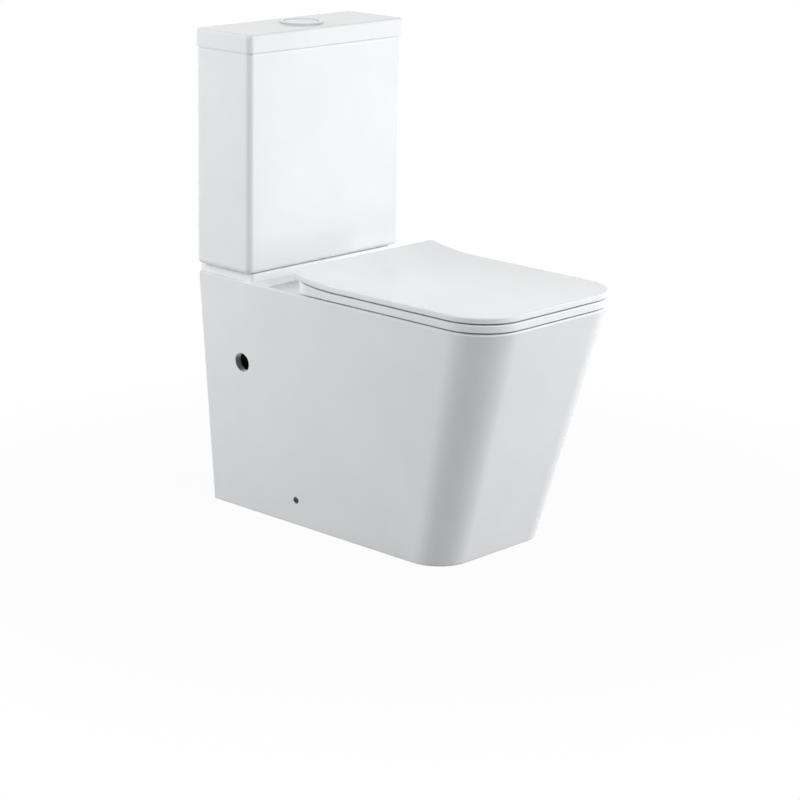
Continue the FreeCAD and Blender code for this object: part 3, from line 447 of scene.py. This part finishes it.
# floor that glows white to the camera and keeps a soft shade round the foot; inside an ellipse round the skirt it
# glows less and shows its dark matt shading, partly real shadow and partly painted shade
ground = {
    "half": 6.0,
    "drop": 0.5 * mm,
    "albedo": 0.38,
    "shade": 0.96,
    "shadeSpan": (0.45, 1.2),
    "footMiddle": (0.0, 0.06, 0.0),
    "footHalf": (0.135, 0.255, 1.0),
    # painted shade: the glow kept inside the ellipse round the foot
    "footPaintedShade": 0.6,
    "footSpan": (0.3, 1.0),
}


def makeFloor():
    mat = bpy.data.materials.new("paleFloor")
    tree = emptyTree(mat)
    out = tree.nodes.new("ShaderNodeOutputMaterial")
    matt = colouredShader(tree, "ShaderNodeBsdfDiffuse", (*[ground["albedo"]] * 3, 1.0))
    glow = colouredShader(tree, "ShaderNodeEmission", room["white"])
    coords = tree.nodes.new("ShaderNodeTexCoord").outputs["Object"]
    keep = rangeOn(tree, lengthOn(tree, coords), ground["shade"], 1.0, ground["shadeSpan"], "SMOOTHSTEP")
    foot = tree.nodes.new("ShaderNodeMapping")
    foot.vector_type = "TEXTURE"
    foot.inputs["Location"].default_value = ground["footMiddle"]
    foot.inputs["Scale"].default_value = ground["footHalf"]
    tree.links.new(coords, foot.inputs["Vector"])
    reach = lengthOn(tree, foot.outputs["Vector"])
    # painted shade: less glow inside the ellipse round the foot, so the floor there reads darker even where lit
    outside = rangeOn(tree, reach, ground["footPaintedShade"], 1.0, ground["footSpan"], "SMOOTHSTEP")
    glowing = mathOn(tree, "MULTIPLY", outside, keep)
    blendOn(tree, mathOn(tree, "MULTIPLY", seenDirectly(tree), glowing), matt, glow, out)
    half, z = ground["half"], -ground["drop"]
    corners = [(-half, -half, z), (half, -half, z), (half, half, z), (-half, half, z)]
    makeQuad("floor", corners, mat)


# painted shade: a black card in the pan's open back, seen only by camera rays from the front, standing in for the
# shade behind the side holes
shadeCard = {"halfLow": 0.120, "halfHigh": 0.150, "low": 0.01, "high": 0.39, "inFromWall": 1.0 * mm, "shade": 0.012}


def makePaintedShadeCard():
    mat = bpy.data.materials.new("cardShade")
    tree = emptyTree(mat)
    out = tree.nodes.new("ShaderNodeOutputMaterial")
    # painted shade: the card's near-black colour
    matt = colouredShader(tree, "ShaderNodeBsdfDiffuse", (*[shadeCard["shade"]] * 3, 1.0))
    clear = tree.nodes.new("ShaderNodeBsdfTransparent").outputs["BSDF"]
    camera = tree.nodes.new("ShaderNodeLightPath").outputs["Is Camera Ray"]
    behind = tree.nodes.new("ShaderNodeNewGeometry").outputs["Backfacing"]
    front = mathOn(tree, "SUBTRACT", camera, behind)
    front.node.use_clamp = True
    blendOn(tree, front, clear, matt, out)
    y = cadBox[1].y - shadeCard["inFromWall"]
    low, high = shadeCard["low"], shadeCard["high"]
    halfLow, halfHigh = shadeCard["halfLow"], shadeCard["halfHigh"]
    corners = [(-halfLow, y, low), (halfLow, y, low), (halfHigh, y, high), (-halfHigh, y, high)]  # faces the front
    makeQuad("paintedShadeCard", corners, mat)


makeRoom()
makeFloor()
makePaintedShadeCard()


# soft boxes left and right of the camera line, so that the rounded corner between them falls dark
lamps = {
    "leftBox": {"at": (-2.145, 1.80, 1.5), "size": (2.6, 2.0), "watts": 80.0},
    "frontBox": {"at": (0.486, -2.757, 2.4), "size": (2.6, 2.0), "watts": 97.0},
    "rightBox": {"at": (2.631, -0.958, 0.7), "size": (1.8, 1.3), "watts": 54.0},
}
lampAim = Vector((0.0, 0.0, 0.35))
for name, spec in lamps.items():
    light = bpy.data.lights.new(name, "AREA")
    light.shape = "RECTANGLE"
    light.size, light.size_y = spec["size"]
    light.energy = spec["watts"]
    lamp = bpy.data.objects.new(name, light)
    lamp.location = spec["at"]
    lamp.visible_glossy = False  # mirrored in the glaze they would burn out
    lamp.rotation_euler = (lampAim - Vector(spec["at"])).to_track_quat("-Z", "Y").to_euler()
    scene.collection.objects.link(lamp)
print("room and lamps set")


# camera, found from the corners of the pan and the seat in the photograph
viewpoint = {
    "azimuth": -47.36,
    "elevation": 15.833,
    "roll": 1.11,
    "lens": 111.54,
    "sensor": 36.0,
    "at": (-2.9835, -2.7325, 1.3665),
}


def makeCamera():
    a, e, r = (math.radians(viewpoint[key]) for key in ("azimuth", "elevation", "roll"))
    back = Vector((math.sin(a) * math.cos(e), -math.cos(a) * math.cos(e), math.sin(e)))
    right = Vector((math.cos(a), math.sin(a), 0.0))
    up = back.cross(right)
    right, up = right * math.cos(r) + up * math.sin(r), up * math.cos(r) - right * math.sin(r)
    data = bpy.data.cameras.new("camera")
    data.lens = viewpoint["lens"]
    data.sensor_width = viewpoint["sensor"]
    camera = bpy.data.objects.new("camera", data)
    turn = Matrix((right, up, back)).transposed().to_4x4()
    camera.matrix_world = Matrix.Translation(viewpoint["at"]) @ turn
    scene.collection.objects.link(camera)
    scene.camera = camera


makeCamera()
print("camera set")
